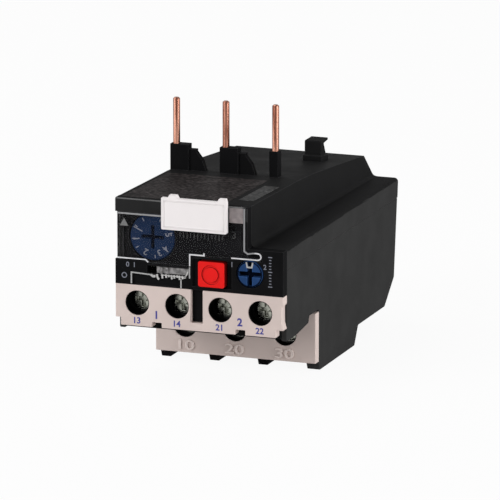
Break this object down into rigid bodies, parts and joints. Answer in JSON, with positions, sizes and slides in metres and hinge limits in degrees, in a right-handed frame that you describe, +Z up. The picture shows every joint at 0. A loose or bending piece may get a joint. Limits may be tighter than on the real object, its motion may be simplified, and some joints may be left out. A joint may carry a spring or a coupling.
{
  "type": "thermal overload relay",
  "caption": "Block-shaped thermal overload relay with copper plug-in pins on top, a clear hinged cover over a setting dial, stop and reset controls and screw terminals below.",
  "frame": {"origin": "middle of the bounding box at the height of the partition ends it stands on", "axes": "+Z up along the line pins, operating face towards -Y, +X to the right seen from the front"},
  "size_m": [0.045, 0.0904, 0.0654],
  "materials": {
    "housing_black": "satin",
    "panel_black": "satin",
    "shroud_beige": "satin",
    "clear_plastic": "clear",
    "milky_plastic": "satin",
    "tag_white": "satin",
    "button_red": "satin",
    "dial_blue": "satin",
    "knob_blue": "satin",
    "inner_plastic": "satin",
    "copper": "drawn copper",
    "steel": "zinc plated",
    "contact_brass": "rolled",
    "bimetal": "rolled"
  },
  "bodies": {
    "casing": {"lower_housing": "housing_black", "upper_housing": "housing_black", "front_panel": "panel_black", "control_terminal_cover": "shroud_beige", "load_terminal_cover": "shroud_beige", "control_terminal_block": "housing_black", "load_terminal_block": "housing_black", "mounting_hook": "housing_black", "cover_hinge_pin": "steel", "control_terminal_screws": "steel", "control_clamp_washers": "steel", "mechanism_frame": "inner_plastic", "lever_pivot_pin": "steel", "load_terminal_screws": "steel", "stop_spring": "steel", "reset_spring": "steel", "snap_spring": "steel", "test_spring": "steel", "no_terminal_left": "contact_brass", "no_terminal_right": "contact_brass", "nc_terminal_left": "contact_brass", "nc_terminal_right": "contact_brass", "line_pin_1": "copper", "heater_winding_1": "contact_brass", "bimetal_strip_1": "bimetal", "bimetal_bracket_1": "steel", "load_bar_1": "contact_brass", "load_clamp_1": "steel", "line_pin_2": "copper", "heater_winding_2": "contact_brass", "bimetal_strip_2": "bimetal", "bimetal_bracket_2": "steel", "load_bar_2": "contact_brass", "load_clamp_2": "steel", "line_pin_3": "copper", "heater_winding_3": "contact_brass", "bimetal_strip_3": "bimetal", "bimetal_bracket_3": "steel", "load_bar_3": "contact_brass", "load_clamp_3": "steel"},
    "cover": {"clear_cover": "clear_plastic", "marker_tag": "tag_white"},
    "dial": {"current_dial": "dial_blue", "dial_cam": "inner_plastic"},
    "stop": {"stop_button": "button_red"},
    "plunger": {"reset_plunger": "inner_plastic"},
    "knob": {"reset_knob": "knob_blue"},
    "test": {"test_slider": "milky_plastic"},
    "push_bar": {"push_slide": "inner_plastic"},
    "differential_bar": {"differential_slide": "inner_plastic"},
    "phase_lever": {"differential_lever": "inner_plastic"},
    "lever": {"trip_lever": "inner_plastic", "compensating_strip": "bimetal"},
    "contacts": {"contact_carrier": "inner_plastic", "nc_contact_bridge": "contact_brass", "no_contact_bridge": "contact_brass"}
  },
  "joints": [
    {"name": "cover_hinge", "type": "hinge", "parent": "casing", "child": "cover", "pos_m": [-0.0212, -0.0428, 0.038], "axis": [0, 0, -1], "range_deg": [0, 110]},
    {"name": "dial_turn", "type": "hinge", "parent": "casing", "child": "dial", "pos_m": [-0.0131, -0.0388, 0.0378], "axis": [0, 1, 0], "range_deg": [-135, 135]},
    {"name": "stop_press", "type": "slide", "parent": "casing", "child": "stop", "axis": [0, 1, 0], "range_m": [0, 0.002], "stiffness_N_per_m": 700, "deforming": ["stop_spring"]},
    {"name": "reset_press", "type": "slide", "parent": "casing", "child": "plunger", "axis": [0, 1, 0], "range_m": [0, 0.002], "stiffness_N_per_m": 700, "deforming": ["reset_spring"]},
    {"name": "reset_turn", "type": "hinge", "parent": "plunger", "child": "knob", "pos_m": [0.01364, -0.0408, 0.0308], "axis": [0, 1, 0], "range_deg": [0, 90]},
    {"name": "test_slide", "type": "slide", "parent": "casing", "child": "test", "axis": [-1, 0, 0], "range_m": [0, 0.0022], "stiffness_N_per_m": 300, "deforming": ["test_spring"]},
    {"name": "push_slide_travel", "type": "slide", "parent": "casing", "child": "push_bar", "axis": [1, 0, 0], "range_m": [0, 0.0015]},
    {"name": "differential_slide_travel", "type": "slide", "parent": "casing", "child": "differential_bar", "axis": [1, 0, 0], "range_m": [0, 0.0015]},
    {"name": "differential_lever_tilt", "type": "hinge", "parent": "push_bar", "child": "phase_lever", "pos_m": [0.006, 0.0048, 0.0325], "axis": [0, 0, 1], "range_deg": [-5, 5]},
    {"name": "trip_lever_turn", "type": "hinge", "parent": "casing", "child": "lever", "pos_m": [-0.003, -0.0108, 0.028], "axis": [0, 0, -1], "range_deg": [0, 7.5]},
    {"name": "contact_travel", "type": "slide", "parent": "casing", "child": "contacts", "axis": [0, -1, 0], "range_m": [0, 0.0012], "deforming": ["snap_spring"]}
  ],
  "couplings": [
    {"joint": "differential_slide_travel", "follows": "push_slide_travel", "ratio": 1},
    {"joint": "trip_lever_turn", "follows": "push_slide_travel", "rad_per_m": 84.746},
    {"joint": "contact_travel", "follows": "push_slide_travel", "ratio": 0.8}
  ]
}
